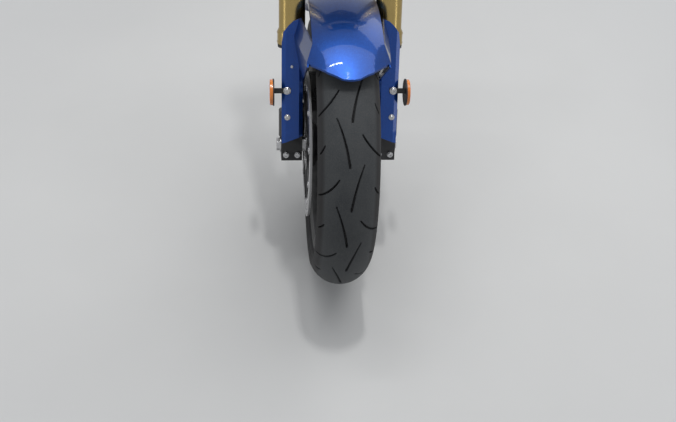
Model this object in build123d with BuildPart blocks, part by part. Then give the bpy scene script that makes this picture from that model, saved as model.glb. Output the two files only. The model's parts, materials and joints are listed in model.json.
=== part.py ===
from build123d import *
from math import cos, radians, sin
import os

os.makedirs("parts", exist_ok=True)

# A motorcycle front end: wheel, brakes, upside-down fork, yokes and mudguard.
# Millimetres. The origin is on the steering axis, on the lower bearing seat.
# +Z is up, the front of the vehicle faces -Y and its left side is +X.

# Steering geometry
rake = 25.0                  # degrees from the vertical to the steering axis
yoke_offset = 32.0           # fork legs ahead of the steering axis
seat_to_axle = 545.0         # lower bearing seat down to the axle, along the axis
head_length = 160.0          # between the two yokes
leg_spacing = 198.0          # between the two fork legs

# Tyre and rim
tyre_radius = 300.0
tyre_width = 120.0
tread_facets = 8             # of the crown's section
shoulder_drop = 16.0         # from the widest place in to the sidewall's bend
shoulder_in = 3.0
sidewall_foot = 8.0          # how far the sidewall draws in above the rim
sidewall_lift = 6.0
tread_wall = 9.0
sidewall = 6.0
sidewall_height = 30.0       # from the rim's flange out to where the tyre is widest
bead_radius = 216.0
bead_width = 9.0
bead_lean = 2.0
rim_inside_width = 89.0      # between the flanges
flange_height = 12.0         # over the bead's seat
flange_wall = 6.5
well_depth = 20.0            # under the bead's seat
well_half_width = 17.0
well_slope = 9.0
rim_wall = 5.5

# Hub, spokes and bearings
spoke_pairs = 5
spoke_spread_hub = 11.0      # half the space between a pair's spokes at the hub
spoke_spread_rim = 27.0
spoke_width_hub = 19.0
spoke_width_rim = 13.0
spoke_depth_hub = 62.0
spoke_depth_rim = 30.0
spoke_chamfer = 4.5
spoke_root = 6.0             # how far a spoke reaches into the hub
spoke_tip = 2.0              # and into the rim
hub_radius = 34.0
hub_flange_radius = 50.0
hub_flange_wall = 9.0
hub_flare = 12.0
hub_bore_gap = 4.0           # round the axle
bearing_radius = 21.0
bearing_width = 12.0
axle_radius = 11.0
axle_bore = 7.0
axle_collar = 6.0
axle_collar_width = 3.0
axle_head_radius = 14.0
axle_head_width = 7.0
axle_end = 4.0               # past the left foot
spacer_wall = 5.0
running_gap = 0.3            # between pieces that turn on each other

# Brake discs
disc_plane = 66.0            # from the wheel's centre plane to a disc's
disc_radius = 155.0
disc_band = 32.0             # from the disc's inner edge out to its rim
disc_thickness = 5.0
disc_hole_radius = 3.5
disc_hole_rings = 3
bobbin_count = 10
bobbin_radius = 7.5
bobbin_shift = 1.0           # of the bobbins, out from the disc's inner edge
carrier_thickness = 6.0
carrier_ring_radius = 56.0
carrier_arm_width = 11.0
carrier_arm_root = 3.0
carrier_lip = 3.0            # round the hub's bearing

# Fork legs, heights measured up the leg from the axle
slider_radius = 21.5
slider_wall = 2.5
slider_bottom = 31.0
slider_top = 430.0
outer_bottom = 216.0
collar_radius = 30.0
collar_height = 26.0
collar_taper = 7.0
outer_radius = 27.0
outer_upper_radius = 25.0
outer_step_above = 12.0      # of the step between the two, above the lower yoke
outer_step = 8.0
outer_above_yoke = 8.0
bushing_gap = 0.3
seal_height = 7.0
seal_step = 1.5
socket_radius = 27.0
socket_bottom = 20.0
socket_top = 76.0
cap_rim = 0.5
cap_height = 4.0
cap_hexagon = 13.0
cap_hexagon_height = 7.0
cap_plug = 14.0

# Fork feet and calipers
clamp_radius = 23.0
clamp_bottom = 31.0          # below the axle
clamp_half_depth = 19.0
clamp_neck = 50.0            # height where the clamp runs into the socket
foot_width = 44.0
caliper_angle = 40.0         # of the caliper, up from straight behind the axle
caliper_bolt_spacing = 100.0
lug_width = 20.0
lug_thickness = 17.0
lug_seat_radius = 124.0      # the seats of the caliper, from the axle
lug_seat_depth = 16.0
lug_inset = 2.0              # from the foot's inner face
arm_radius = 15.0
arm_roots = [(4.0, 50.0, 1), (6.0, 10.0, -1)]   # behind the axle, up the leg, end of the caliper
ear_height = 21.0
ear_widening = 8.0
caliper_inner_radius = 107.0
caliper_bridge = 15.0        # over the slot that the disc turns in
caliper_length = 78.0
caliper_width = 70.0
caliper_corner = 6.0
caliper_heel = 8.0
caliper_shoulder = 18.0
caliper_crown = 2.0
caliper_slant = 14.0
piston_circle = 143.0        # from the axle to the pistons
piston_half_spacing = 18.0
piston_cap_radius = 11.0
piston_cap_height = 2.5
pad_gap = 0.5
pad_thickness = 8.5
pad_play = 0.2
pad_lead = 1.5               # from the bobbins out to the pads
pad_edge = 2.0               # inside the disc's edge
pad_length = 62.0
pad_corner = 5.0
disc_clearance = 5.0

# Yokes and stem
yoke_thickness = 38.0
upper_yoke_thickness = 24.0
clamp_wall = 8.0
stem_press_radius = 16.0     # pressed into the lower yoke
stem_seat_radius = 15.0
stem_seat_height = 26.0
stem_shank_radius = 13.5
stem_taper = 4.0
stem_upper_radius = 12.5
stem_upper_seat = 30.0       # below the upper yoke
stem_bore_radius = 8.5
stem_boss_radius = 31.0
upper_boss_radius = 27.0
stem_above_yoke = 12.0
nut_radius = 18.0
nut_height = 10.0
clamp_slit = 3.0
clamp_slit_start = 5.0       # from the middle of the leg, outwards
clamp_slit_length = 50.0
clamp_slit_back = 6.0        # behind the middle of the leg
pinch_out = 33.0             # of the bosses across a slit, from the middle of the leg
pinch_radius = 7.5
pinch_length = 30.0
pinch_heights = (9.5, 28.5)  # up the lower yoke
pocket_x = 49.0
pocket_back = 14.0           # ahead of the steering axis
pocket_width = 22.0
pocket_length = 34.0
pocket_corner = 6.0
pocket_roof = 12.0
bar_hole_radius = 6.0
bar_hole_spacing = 96.0

# Mudguard, in millimetres from the axle and degrees up from straight ahead
guard_gap = 20.0             # between the tyre and the crown
guard_wall = 3.0
crease_half_width = 68.0     # the crown's, between its two creases
crease_drop = 14.0
skirt_drop = 27.0            # from the crown's top down to the lower edge of its sides
guard_tip = 63.5
tip_half_width = 17.0        # of the tip's rounding
tip_rounding = 2.7
guard_bend_x = 43.0          # of the front edge, from the middle
guard_bend_angle = 65.7
guard_corner_x = 79.0
guard_corner_angle = 72.8
corner_drop = 26.0           # from the crown's top down to a front corner
shoulder_angle = 79.3        # where each crease turns in to the shoulder facet
shoulder_facing = (0.53, -0.32, 0.785)
shoulder_lap = 1.0           # of the facet's plate, in under the crease
guard_rear = 152.0
tail_taper = 30.0
tail_corner = 22.0
plan_angle = 100.0           # of the direction that the mudguard's plan is drawn from

# Wings from the mudguard's shoulders to the fork guards
wing_wall = 3.0
wing_lap = 2.0               # into the shoulder
wing_front_drop = 8.0        # below the front corner
wing_heights = (143.0, 236.0, 274.0)    # on the fork guard: lower end, joint and top
wing_insets = (20.0, 2.5, 14.0)         # the same three, in from the middle of the leg

# Fork guards, ahead of the legs
cover_width = 44.0
cover_reach = 34.0           # outer face, ahead of the leg
cover_bevel = 5.0
cover_bevel_width = 8.0
cover_wall = 2.5
cover_flange = 5.0           # how far its side flanges reach back
cover_flange_top = 139.0
cover_seat_height = 60.0     # of its boss on the foot
cover_seat_radius = 7.0
cover_bottom_outer = 10.0
cover_bottom_inner = 27.0
cover_neck = 5.0             # its inner edge at the wing's joint, in from the middle of the leg
cover_shoulder = 221.0
cover_crest = [(18.5, 245.0), (8.0, 259.0), (-2.0, 268.0), (-13.0, 272.5)]   # outwards, up the leg

# Reflectors
reflector_radius = 27.0
reflector_plane = 145.0      # outer face of a reflector from the centre plane
reflector_lens = 6.0
reflector_dish = 3.0
reflector_rim = 1.0
reflector_height = 118.0     # up the leg from the axle
reflector_lead = 20.0        # ahead of the leg
strap_height = 125.0
strap_width = 11.0
strap_thickness = 2.0
strap_start = 3.0            # out from the middle of the leg

# Frames
steering_up = Vector(0, sin(radians(rake)), cos(radians(rake)))
forward = Vector(0, -cos(radians(rake)), sin(radians(rake)))
head = Plane(origin=(0, 0, 0), x_dir=(1, 0, 0), z_dir=steering_up)
head_section = Plane(origin=(0, 0, 0), x_dir=(1, 0, 0), z_dir=forward)
steering_axis = Axis((0, 0, 0), steering_up)
leg_x = leg_spacing / 2
axle_point = head.from_local_coords(Vector(0, -yoke_offset, -seat_to_axle))
wheel_axis = Axis(axle_point, (1, 0, 0))
wheel_section = Plane(origin=axle_point, x_dir=(1, 0, 0), z_dir=(0, -1, 0))
flange_radius = bead_radius + flange_height
well_radius = bead_radius - well_depth
tyre_wide_radius = flange_radius + sidewall_height
disc_inner_radius = disc_radius - disc_band
bobbin_circle = disc_inner_radius + bobbin_shift
pad_inner_radius = bobbin_circle + bobbin_radius + pad_lead
caliper_outer_radius = disc_radius + disc_clearance + caliper_bridge
guard_radius = tyre_radius + guard_gap + guard_wall
crease_radius = guard_radius - crease_drop
skirt_radius = guard_radius - skirt_drop
sides = [(1, "left"), (-1, "right")]


def leg_origin(side):
    return head.from_local_coords(Vector(side * leg_x, -yoke_offset, -seat_to_axle))


def leg_plane(side):
    """Square to the leg through the axle: x across, y rearward, z up the leg."""
    return Plane(origin=leg_origin(side), x_dir=(1, 0, 0), z_dir=steering_up)


def leg_section(side):
    """Along the leg: x across and y up it."""
    return Plane(origin=leg_origin(side), x_dir=(1, 0, 0), z_dir=forward)


def leg_axis(side):
    return Axis(leg_origin(side), steering_up)


def leg_side(x):
    """Seen from +X at a given x: x rearward, y up the leg, from the axle."""
    return Plane(origin=(x, axle_point.Y, axle_point.Z), x_dir=-forward, z_dir=(1, 0, 0))


def across(x):
    """Square to the axle at a given x, centred on it."""
    return Plane(origin=(x, axle_point.Y, axle_point.Z), x_dir=(0, 1, 0), z_dir=(1, 0, 0))


def polar(degrees_up):
    """Out from the axle at an angle up from straight ahead."""
    return Vector(0, -cos(radians(degrees_up)), sin(radians(degrees_up)))


def caliper_side(x):
    """Seen from +X at a given x: x out from the axle to the caliper, y along it."""
    outward = -forward * cos(radians(caliper_angle)) + steering_up * sin(radians(caliper_angle))
    return Plane(origin=(x, axle_point.Y, axle_point.Z), x_dir=outward, z_dir=(1, 0, 0))


def save(piece, label):
    piece.part.label = label
    export_step(piece.part, f"parts/{label}.step")


# Tyre: a crowned tread on two sidewalls that sit on the rim's bead seats
half_width = tyre_width / 2
bead_x = rim_inside_width / 2 - running_gap
bend_x = half_width - shoulder_in
foot_x = half_width - sidewall_foot
with BuildPart() as tyre:
    with BuildSketch(wheel_section):
        with BuildLine():
            crown = ThreePointArc(
                (-half_width, tyre_wide_radius),
                (0, tyre_radius),
                (half_width, tyre_wide_radius),
                mode=Mode.PRIVATE,
            )
            Polyline(*[crown @ (step / tread_facets) for step in range(tread_facets + 1)])
            Polyline(
                (half_width, tyre_wide_radius),
                (bend_x, tyre_wide_radius - shoulder_drop),
                (foot_x, flange_radius + sidewall_lift),
                (bead_x, flange_radius + running_gap),
                (bead_x, bead_radius + running_gap),
                (bead_x - bead_width, bead_radius + running_gap),
                (bead_x - bead_width + bead_lean, flange_radius + bead_lean),
                (half_width - sidewall, tyre_wide_radius),
                (half_width / 2, tyre_radius - 2 * tread_wall),
                (0, tyre_radius - tread_wall),
                (-half_width / 2, tyre_radius - 2 * tread_wall),
                (-half_width + sidewall, tyre_wide_radius),
                (-bead_x + bead_width - bead_lean, flange_radius + bead_lean),
                (-bead_x + bead_width, bead_radius + running_gap),
                (-bead_x, bead_radius + running_gap),
                (-bead_x, flange_radius + running_gap),
                (-foot_x, flange_radius + sidewall_lift),
                (-bend_x, tyre_wide_radius - shoulder_drop),
                (-half_width, tyre_wide_radius),
            )
        make_face()
    revolve(axis=wheel_axis)
save(tyre, "tyre")

# Wheel: rim, hub and five pairs of spokes in one casting
hub_half_width = disc_plane - carrier_thickness / 2
flange_out = rim_inside_width / 2 + flange_wall
with BuildPart() as wheel:
    with BuildSketch(wheel_section):
        with BuildLine():
            Polyline(
                (0, well_radius),
                (well_half_width, well_radius),
                (well_half_width + well_slope, bead_radius - bead_lean),
                (rim_inside_width / 2, bead_radius),
                (rim_inside_width / 2, flange_radius),
                (flange_out, flange_radius),
                (flange_out, bead_radius + bead_lean),
                (flange_out - rim_wall, bead_radius - rim_wall),
                (well_half_width + well_slope + rim_wall, bead_radius - bead_lean - rim_wall),
                (well_half_width + rim_wall / 2, well_radius - rim_wall),
                (0, well_radius - rim_wall),
                close=True,
            )
        make_face()
        mirror(about=Plane(wheel_section.origin, x_dir=(0, 0, 1), z_dir=(1, 0, 0)))
    revolve(axis=wheel_axis)
    for turn in range(spoke_pairs):
        angle = 360 / spoke_pairs * turn
        out = polar(angle)
        spoke_plane = Plane(origin=axle_point, x_dir=(1, 0, 0), z_dir=out)
        for lean in (-1, 1):
            with BuildSketch(spoke_plane.offset(hub_radius - spoke_root)) as spoke_foot:
                with Locations((0, lean * spoke_spread_hub)):
                    Rectangle(spoke_depth_hub, spoke_width_hub)
                chamfer(spoke_foot.vertices(), length=spoke_chamfer)
            with BuildSketch(spoke_plane.offset(well_radius - rim_wall + spoke_tip)) as spoke_end:
                with Locations((0, lean * spoke_spread_rim)):
                    Rectangle(spoke_depth_rim, spoke_width_rim)
                chamfer(spoke_end.vertices(), length=spoke_chamfer)
            loft(ruled=True)
    with BuildSketch(wheel_section):
        with BuildLine():
            Polyline(
                (-hub_half_width, 0),
                (-hub_half_width, hub_flange_radius),
                (-hub_half_width + hub_flange_wall, hub_flange_radius),
                (-hub_half_width + hub_flange_wall + hub_flare, hub_radius),
                (hub_half_width - hub_flange_wall - hub_flare, hub_radius),
                (hub_half_width - hub_flange_wall, hub_flange_radius),
                (hub_half_width, hub_flange_radius),
                (hub_half_width, 0),
                close=True,
            )
        make_face()
    revolve(axis=wheel_axis)
    for side, name in sides:
        with BuildSketch(across(side * hub_half_width)):
            Circle(bearing_radius)
        extrude(amount=-side * bearing_width, mode=Mode.SUBTRACT)
    with BuildSketch(across(-hub_half_width)):
        Circle(axle_radius + hub_bore_gap)
    extrude(amount=2 * hub_half_width, mode=Mode.SUBTRACT)
save(wheel, "wheel")

# Bearings, discs and carriers, all centred on the axle
for side, name in sides:
    with BuildPart() as bearing:
        face = side * hub_half_width
        with BuildSketch(across(face)):
            Circle(bearing_radius)
            Circle(axle_radius + running_gap, mode=Mode.SUBTRACT)
        extrude(amount=-side * bearing_width)
    save(bearing, f"wheel_bearing_{name}")

    band = disc_band / (disc_hole_rings + 1.5)
    with BuildPart() as disc:
        with BuildSketch(across(side * disc_plane)):
            Circle(disc_radius)
            Circle(disc_inner_radius, mode=Mode.SUBTRACT)
            with PolarLocations(bobbin_circle, bobbin_count):
                Circle(bobbin_radius + running_gap, mode=Mode.SUBTRACT)
            for ring in range(1, disc_hole_rings + 1):
                turn = 360 / bobbin_count * ring / (disc_hole_rings + 1)
                with PolarLocations(disc_inner_radius + band * (ring + 0.5), bobbin_count, start_angle=turn):
                    Circle(disc_hole_radius, mode=Mode.SUBTRACT)
        extrude(amount=disc_thickness / 2, both=True)
    save(disc, f"brake_disc_{name}")

    with BuildPart() as carrier:
        with BuildSketch(across(side * disc_plane)):
            Circle(carrier_ring_radius)
            with PolarLocations((carrier_ring_radius - carrier_arm_root + bobbin_circle) / 2, bobbin_count):
                Rectangle(bobbin_circle - carrier_ring_radius + carrier_arm_root, carrier_arm_width)
            with PolarLocations(bobbin_circle, bobbin_count):
                Circle(bobbin_radius)
            Circle(bearing_radius + carrier_lip, mode=Mode.SUBTRACT)
        extrude(amount=carrier_thickness / 2, both=True)
    save(carrier, f"disc_carrier_{name}")

# Axle: a tube through both feet with a hexagon head on the right
foot_in = leg_x - foot_width / 2
foot_out = leg_x + foot_width / 2
with BuildPart() as axle:
    with BuildSketch(across(-foot_out - axle_collar_width)):
        Circle(axle_radius)
    extrude(amount=2 * foot_out + axle_collar_width + axle_end)
    with BuildSketch(across(-foot_out)):
        Circle(axle_radius + axle_collar)
    extrude(amount=-axle_collar_width)
    with BuildSketch(across(-foot_out - axle_collar_width)):
        RegularPolygon(axle_head_radius, 6)
    extrude(amount=-axle_head_width)
    with BuildSketch(across(-foot_out - axle_collar_width - axle_head_width)):
        Circle(axle_bore)
    extrude(
        amount=2 * foot_out + axle_collar_width + axle_head_width + axle_end,
        mode=Mode.SUBTRACT,
    )
save(axle, "axle")

# Fork legs with their feet, calipers, guards and reflectors
outer_top = seat_to_axle + head_length + upper_yoke_thickness + outer_above_yoke
step_height = seat_to_axle + outer_step_above
for side, name in sides:
    with BuildPart() as spacer:
        with BuildSketch(across(side * (hub_half_width + running_gap))):
            Circle(axle_radius + spacer_wall)
            Circle(axle_radius, mode=Mode.SUBTRACT)
        extrude(amount=side * (foot_in - hub_half_width - running_gap))
    save(spacer, f"axle_spacer_{name}")

    with BuildPart() as slider:
        with BuildSketch(leg_plane(side).offset(slider_bottom)):
            Circle(slider_radius)
            Circle(slider_radius - slider_wall, mode=Mode.SUBTRACT)
        extrude(amount=slider_top - slider_bottom)
    save(slider, f"fork_slider_{name}")

    with BuildPart() as outer_tube:
        with BuildSketch(leg_section(side)):
            with BuildLine():
                Polyline(
                    (slider_radius + bushing_gap, outer_bottom),
                    (collar_radius, outer_bottom),
                    (collar_radius, outer_bottom + collar_height),
                    (outer_radius, outer_bottom + collar_height + collar_taper),
                    (outer_radius, step_height),
                    (outer_upper_radius, step_height + outer_step),
                    (outer_upper_radius, outer_top),
                    (slider_radius + bushing_gap, outer_top),
                    close=True,
                )
            make_face()
        revolve(axis=leg_axis(side))
    save(outer_tube, f"fork_tube_{name}")

    with BuildPart() as seal:
        with BuildSketch(leg_plane(side).offset(outer_bottom - seal_height)):
            Circle(collar_radius - seal_step)
            Circle(slider_radius, mode=Mode.SUBTRACT)
        extrude(amount=seal_height)
    save(seal, f"dust_seal_{name}")

    with BuildPart() as cap:
        with BuildSketch(leg_plane(side).offset(outer_top)):
            Circle(outer_upper_radius - cap_rim)
        extrude(amount=cap_height)
        with BuildSketch(leg_plane(side).offset(outer_top + cap_height)):
            RegularPolygon(cap_hexagon, 6)
        extrude(amount=cap_hexagon_height)
        with BuildSketch(leg_plane(side).offset(outer_top - cap_plug)):
            Circle(slider_radius + bushing_gap)
        extrude(amount=cap_plug)
    save(cap, f"fork_cap_{name}")

    # Foot: socket for the slider, split clamp for the axle and an arm to each lug
    lug_in = side * (foot_in + lug_inset)
    with BuildPart() as foot:
        with BuildSketch(leg_side(side * foot_in)):
            Circle(clamp_radius)
            with Locations((0, clamp_neck)):
                Circle(clamp_radius)
            make_hull()
        extrude(amount=side * foot_width)
        with BuildSketch(leg_side(side * foot_in)):
            with Locations((0, -clamp_bottom / 2)):
                Rectangle(2 * clamp_half_depth, clamp_bottom)
        extrude(amount=side * foot_width)
        with BuildSketch(leg_plane(side).offset(socket_bottom)):
            Circle(socket_radius)
        extrude(amount=socket_top - socket_bottom)
        for root_back, root_height, end in arm_roots:
            seat = Vector(lug_seat_radius - lug_seat_depth, end * caliper_bolt_spacing / 2)
            local = leg_side(0).to_local_coords(caliper_side(0).from_local_coords(seat))
            with BuildSketch(leg_side(lug_in)):
                with Locations((root_back, root_height)):
                    Circle(arm_radius)
                with Locations((local.X, local.Y)):
                    Circle(lug_width / 2)
                make_hull()
            extrude(amount=side * lug_thickness)
            with BuildSketch(caliper_side(lug_in)):
                with Locations((lug_seat_radius - lug_seat_depth / 2, seat.Y)):
                    Rectangle(lug_seat_depth, lug_width)
            extrude(amount=side * lug_thickness)
        with BuildSketch(leg_plane(side).offset(slider_bottom)):
            Circle(slider_radius)
        extrude(amount=outer_bottom - slider_bottom, mode=Mode.SUBTRACT)
        with BuildSketch(across(side * foot_in)):
            Circle(axle_radius)
        extrude(amount=side * foot_width, mode=Mode.SUBTRACT)
        with BuildSketch(leg_side(side * foot_in)):
            with Locations((0, -clamp_bottom / 2)):
                Rectangle(clamp_slit, clamp_bottom)
        extrude(amount=side * foot_width, mode=Mode.SUBTRACT)
    save(foot, f"fork_foot_{name}")

    # Caliper: one block over the disc with four piston bores and two ears
    caliper_in = side * (disc_plane - caliper_width / 2)
    slot_half = disc_thickness / 2 + pad_gap + pad_thickness
    caliper_end = caliper_length / 2
    caliper_top = caliper_outer_radius - caliper_crown
    with BuildPart() as caliper:
        with BuildSketch(caliper_side(caliper_in)):
            with BuildLine():
                Polyline(
                    (caliper_inner_radius, caliper_corner - caliper_end),
                    (caliper_inner_radius, caliper_end - caliper_corner),
                    (caliper_inner_radius + caliper_heel, caliper_end),
                    (caliper_outer_radius - caliper_shoulder, caliper_end),
                    (caliper_top, caliper_end - caliper_slant),
                )
                ThreePointArc(
                    (caliper_top, caliper_end - caliper_slant),
                    (caliper_outer_radius, 0),
                    (caliper_top, caliper_slant - caliper_end),
                )
                Polyline(
                    (caliper_top, caliper_slant - caliper_end),
                    (caliper_outer_radius - caliper_shoulder, -caliper_end),
                    (caliper_inner_radius + caliper_heel, -caliper_end),
                    (caliper_inner_radius, caliper_corner - caliper_end),
                )
            make_face()
        extrude(amount=side * caliper_width)
        for end in (-1, 1):
            ear_middle = end * (caliper_bolt_spacing - ear_widening) / 2
            with BuildSketch(caliper_side(lug_in)):
                with Locations((lug_seat_radius + ear_height / 2, ear_middle)):
                    Rectangle(ear_height, lug_width + ear_widening)
            extrude(amount=side * lug_thickness)
        with BuildSketch(across(side * (disc_plane - slot_half))):
            Circle(disc_radius + disc_clearance)
        extrude(amount=side * 2 * slot_half, mode=Mode.SUBTRACT)
        for face in (-1, 1):
            with BuildSketch(caliper_side(side * (disc_plane + face * caliper_width / 2))):
                with Locations((piston_circle, piston_half_spacing), (piston_circle, -piston_half_spacing)):
                    Circle(piston_cap_radius)
            extrude(amount=side * face * piston_cap_height)
    save(caliper, f"brake_caliper_{name}")

    pad_depth = disc_radius - pad_edge - pad_inner_radius
    with BuildPart() as pads:
        for face in (-1, 1):
            with BuildSketch(caliper_side(side * (disc_plane + face * (disc_thickness / 2 + pad_gap)))):
                with Locations((pad_inner_radius + pad_depth / 2, 0)):
                    RectangleRounded(pad_depth, pad_length, pad_corner)
            extrude(amount=side * face * (pad_thickness - pad_play))
    save(pads, f"brake_pads_{name}")

# Steering stem: pressed into the lower yoke, with seats for two bearings
stem_top = head_length + upper_yoke_thickness + stem_above_yoke
with BuildPart() as stem:
    with BuildSketch(head_section):
        with BuildLine():
            Polyline(
                (stem_bore_radius, -yoke_thickness),
                (stem_press_radius, -yoke_thickness),
                (stem_press_radius, 0),
                (stem_seat_radius, 0),
                (stem_seat_radius, stem_seat_height),
                (stem_shank_radius, stem_seat_height + stem_taper),
                (stem_shank_radius, head_length - stem_upper_seat - stem_taper),
                (stem_upper_radius, head_length - stem_upper_seat),
                (stem_upper_radius, stem_top),
                (stem_bore_radius, stem_top),
                close=True,
            )
        make_face()
    revolve(axis=steering_axis)
save(stem, "steering_stem")

with BuildPart() as stem_nut:
    with BuildSketch(head.offset(head_length + upper_yoke_thickness)):
        RegularPolygon(nut_radius, 6)
        Circle(stem_upper_radius, mode=Mode.SUBTRACT)
    extrude(amount=nut_height)
save(stem_nut, "stem_nut")



def pinch_bosses(heights):
    """Bosses for the bolts that close both leg clamps of a yoke, across the slits."""
    middle = head.from_local_coords(Vector(0, clamp_slit_back - yoke_offset, 0))
    places = [(side * (leg_x + pinch_out), height) for side, name in sides for height in heights]
    with BuildPart() as bosses:
        with BuildSketch(Plane(origin=middle, x_dir=(1, 0, 0), z_dir=forward)):
            with Locations(*places):
                Circle(pinch_radius)
        extrude(amount=pinch_length / 2, both=True)
    return bosses.part


# Yokes: a hull round the two leg clamps and the stem boss
slit_middle = leg_x + clamp_slit_start + clamp_slit_length / 2
with BuildPart() as lower_yoke:
    with BuildSketch(head.offset(-yoke_thickness)):
        for side, name in sides:
            with Locations((side * leg_x, -yoke_offset)):
                Circle(outer_radius + clamp_wall)
        Circle(stem_boss_radius)
        make_hull()
    extrude(amount=yoke_thickness)
    add(pinch_bosses([height - yoke_thickness for height in pinch_heights]))
    with BuildSketch(head.offset(-yoke_thickness)):
        for side, name in sides:
            with Locations((side * leg_x, -yoke_offset)):
                Circle(outer_radius)
            with Locations((side * slit_middle, -yoke_offset + clamp_slit_back)):
                Rectangle(clamp_slit_length, clamp_slit)
        Circle(stem_press_radius)
    extrude(amount=yoke_thickness, mode=Mode.SUBTRACT)
    with BuildSketch(head.offset(-yoke_thickness)):
        for side, name in sides:
            with Locations((side * pocket_x, -pocket_back)):
                RectangleRounded(pocket_width, pocket_length, pocket_corner)
    extrude(amount=yoke_thickness - pocket_roof, mode=Mode.SUBTRACT)
save(lower_yoke, "lower_yoke")

with BuildPart() as upper_yoke:
    with BuildSketch(head.offset(head_length)):
        for side, name in sides:
            with Locations((side * leg_x, -yoke_offset)):
                Circle(outer_upper_radius + clamp_wall)
        Circle(upper_boss_radius)
        make_hull()
    extrude(amount=upper_yoke_thickness)
    add(pinch_bosses([head_length + upper_yoke_thickness / 2]))
    with BuildSketch(head.offset(head_length)):
        for side, name in sides:
            with Locations((side * leg_x, -yoke_offset)):
                Circle(outer_upper_radius)
            with Locations((side * slit_middle, -yoke_offset + clamp_slit_back)):
                Rectangle(clamp_slit_length, clamp_slit)
            with Locations((side * bar_hole_spacing / 2, 0)):
                Circle(bar_hole_radius)
        Circle(stem_upper_radius)
    extrude(amount=upper_yoke_thickness, mode=Mode.SUBTRACT)
save(upper_yoke, "upper_yoke")


def shoulder_plane(side, inset):
    """The flat facet that cuts a front corner of the crown, drawn in by an inset."""
    facing = Vector(side * shoulder_facing[0], shoulder_facing[1], shoulder_facing[2]).normalized()
    crease = axle_point + polar(shoulder_angle) * crease_radius + Vector(side * crease_half_width, 0, 0)
    return Plane(origin=crease - facing * inset, z_dir=facing)


def crown_body(inset):
    """Everything under the mudguard's crown and between its sides, drawn in by an inset."""
    first = polar(guard_tip - tip_rounding)
    section = Plane(origin=axle_point, x_dir=(1, 0, 0), z_dir=Vector(1, 0, 0).cross(first))
    side_x = crease_half_width - inset
    floor = skirt_radius - skirt_drop
    with BuildPart() as body:
        with BuildSketch(section):
            with BuildLine():
                ThreePointArc(
                    (-side_x, crease_radius - inset),
                    (0, guard_radius - inset),
                    (side_x, crease_radius - inset),
                )
                Polyline(
                    (side_x, crease_radius - inset),
                    (side_x, floor),
                    (-side_x, floor),
                    (-side_x, crease_radius - inset),
                )
            make_face()
        revolve(axis=Axis(axle_point, (-1, 0, 0)), revolution_arc=guard_rear - guard_tip + 2 * tip_rounding)
        for side, name in sides:
            split(bisect_by=shoulder_plane(side, inset), keep=Keep.BOTTOM)
    return body.part


# Mudguard: the shell between two such bodies, with a wing each side
plan = Plane(origin=axle_point, x_dir=(1, 0, 0), z_dir=polar(plan_angle))


def plan_reach(degrees_up, radius):
    """How far behind the plan's centre a place on the mudguard lies."""
    return radius * sin(radians(degrees_up - plan_angle))


def on_shoulder(side, x, reach):
    """The place on a shoulder facet above a place of the plan, in the facet's own coordinates."""
    facet = shoulder_plane(side, 0)
    below = plan.from_local_coords(Vector(side * x, reach, 0))
    rise = (facet.origin - below).dot(facet.z_dir) / plan.z_dir.dot(facet.z_dir)
    return facet.to_local_coords(below + plan.z_dir * rise)


tip = plan_reach(guard_tip, guard_radius)
bend = plan_reach(guard_bend_angle, crease_radius)
corner = plan_reach(guard_corner_angle, guard_radius - corner_drop)
crease = plan_reach(shoulder_angle, crease_radius)
tail = plan_reach(guard_rear, guard_radius)
with BuildPart() as mudguard:
    add(crown_body(0))
    add(crown_body(guard_wall), mode=Mode.SUBTRACT)
    with BuildSketch(across(0)):
        Circle(skirt_radius)
    extrude(amount=2 * crease_half_width, both=True, mode=Mode.SUBTRACT)
    for side, name in sides:
        with BuildSketch(shoulder_plane(side, 0)):
            with BuildLine():
                Polyline(
                    on_shoulder(side, crease_half_width - shoulder_lap, crease),
                    on_shoulder(side, guard_corner_x, crease),
                    on_shoulder(side, guard_corner_x, tip),
                    on_shoulder(side, crease_half_width - shoulder_lap, tip),
                    close=True,
                )
            make_face()
        extrude(amount=-guard_wall)
    with BuildSketch(plan):
        with BuildLine():
            ThreePointArc(
                (-tip_half_width, tip + tip_rounding),
                (0, tip),
                (tip_half_width, tip + tip_rounding),
            )
            Polyline(
                (tip_half_width, tip + tip_rounding),
                (guard_bend_x, bend),
                (guard_corner_x, corner),
                (crease_half_width, crease),
                (crease_half_width, tail - tail_taper),
                (crease_half_width - tail_corner, tail),
                (tail_corner - crease_half_width, tail),
                (-crease_half_width, tail - tail_taper),
                (-crease_half_width, crease),
                (-guard_corner_x, corner),
                (-guard_bend_x, bend),
                (-tip_half_width, tip + tip_rounding),
            )
        make_face()
    extrude(amount=2 * guard_radius, mode=Mode.INTERSECT)
    for side, name in sides:
        # The wing's front end lies along the facet's rear edge, its other end on the fork guard
        corner_point = shoulder_plane(side, 0).from_local_coords(on_shoulder(side, guard_corner_x, corner))
        crease_point = shoulder_plane(side, 0).origin
        rise = (crease_point - corner_point) - Vector(crease_point.X - corner_point.X, 0, 0)
        front_plane = Plane(
            origin=corner_point + forward * wing_lap,
            x_dir=(1, 0, 0),
            z_dir=Vector(1, 0, 0).cross(rise),
        )
        inward = Vector(-side * wing_wall, 0)
        joint = Vector(0, 0)
        low = Vector(0, -wing_front_drop)
        top = Vector(crease_point.X - corner_point.X, rise.length)
        with BuildSketch(front_plane):
            with BuildLine():
                Polyline(low, joint, top, top + inward, joint + inward, low + inward, close=True)
            make_face()
        low, joint, top = [
            Vector(-side * inset, height) for inset, height in zip(wing_insets, wing_heights)
        ]
        with BuildSketch(leg_section(side).offset(cover_reach)):
            with BuildLine():
                Polyline(low, joint, top, top + inward, joint + inward, low + inward, close=True)
            make_face()
        loft(ruled=True)
        split(bisect_by=shoulder_plane(side, 0), keep=Keep.BOTTOM)
save(mudguard, "mudguard")

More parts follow.
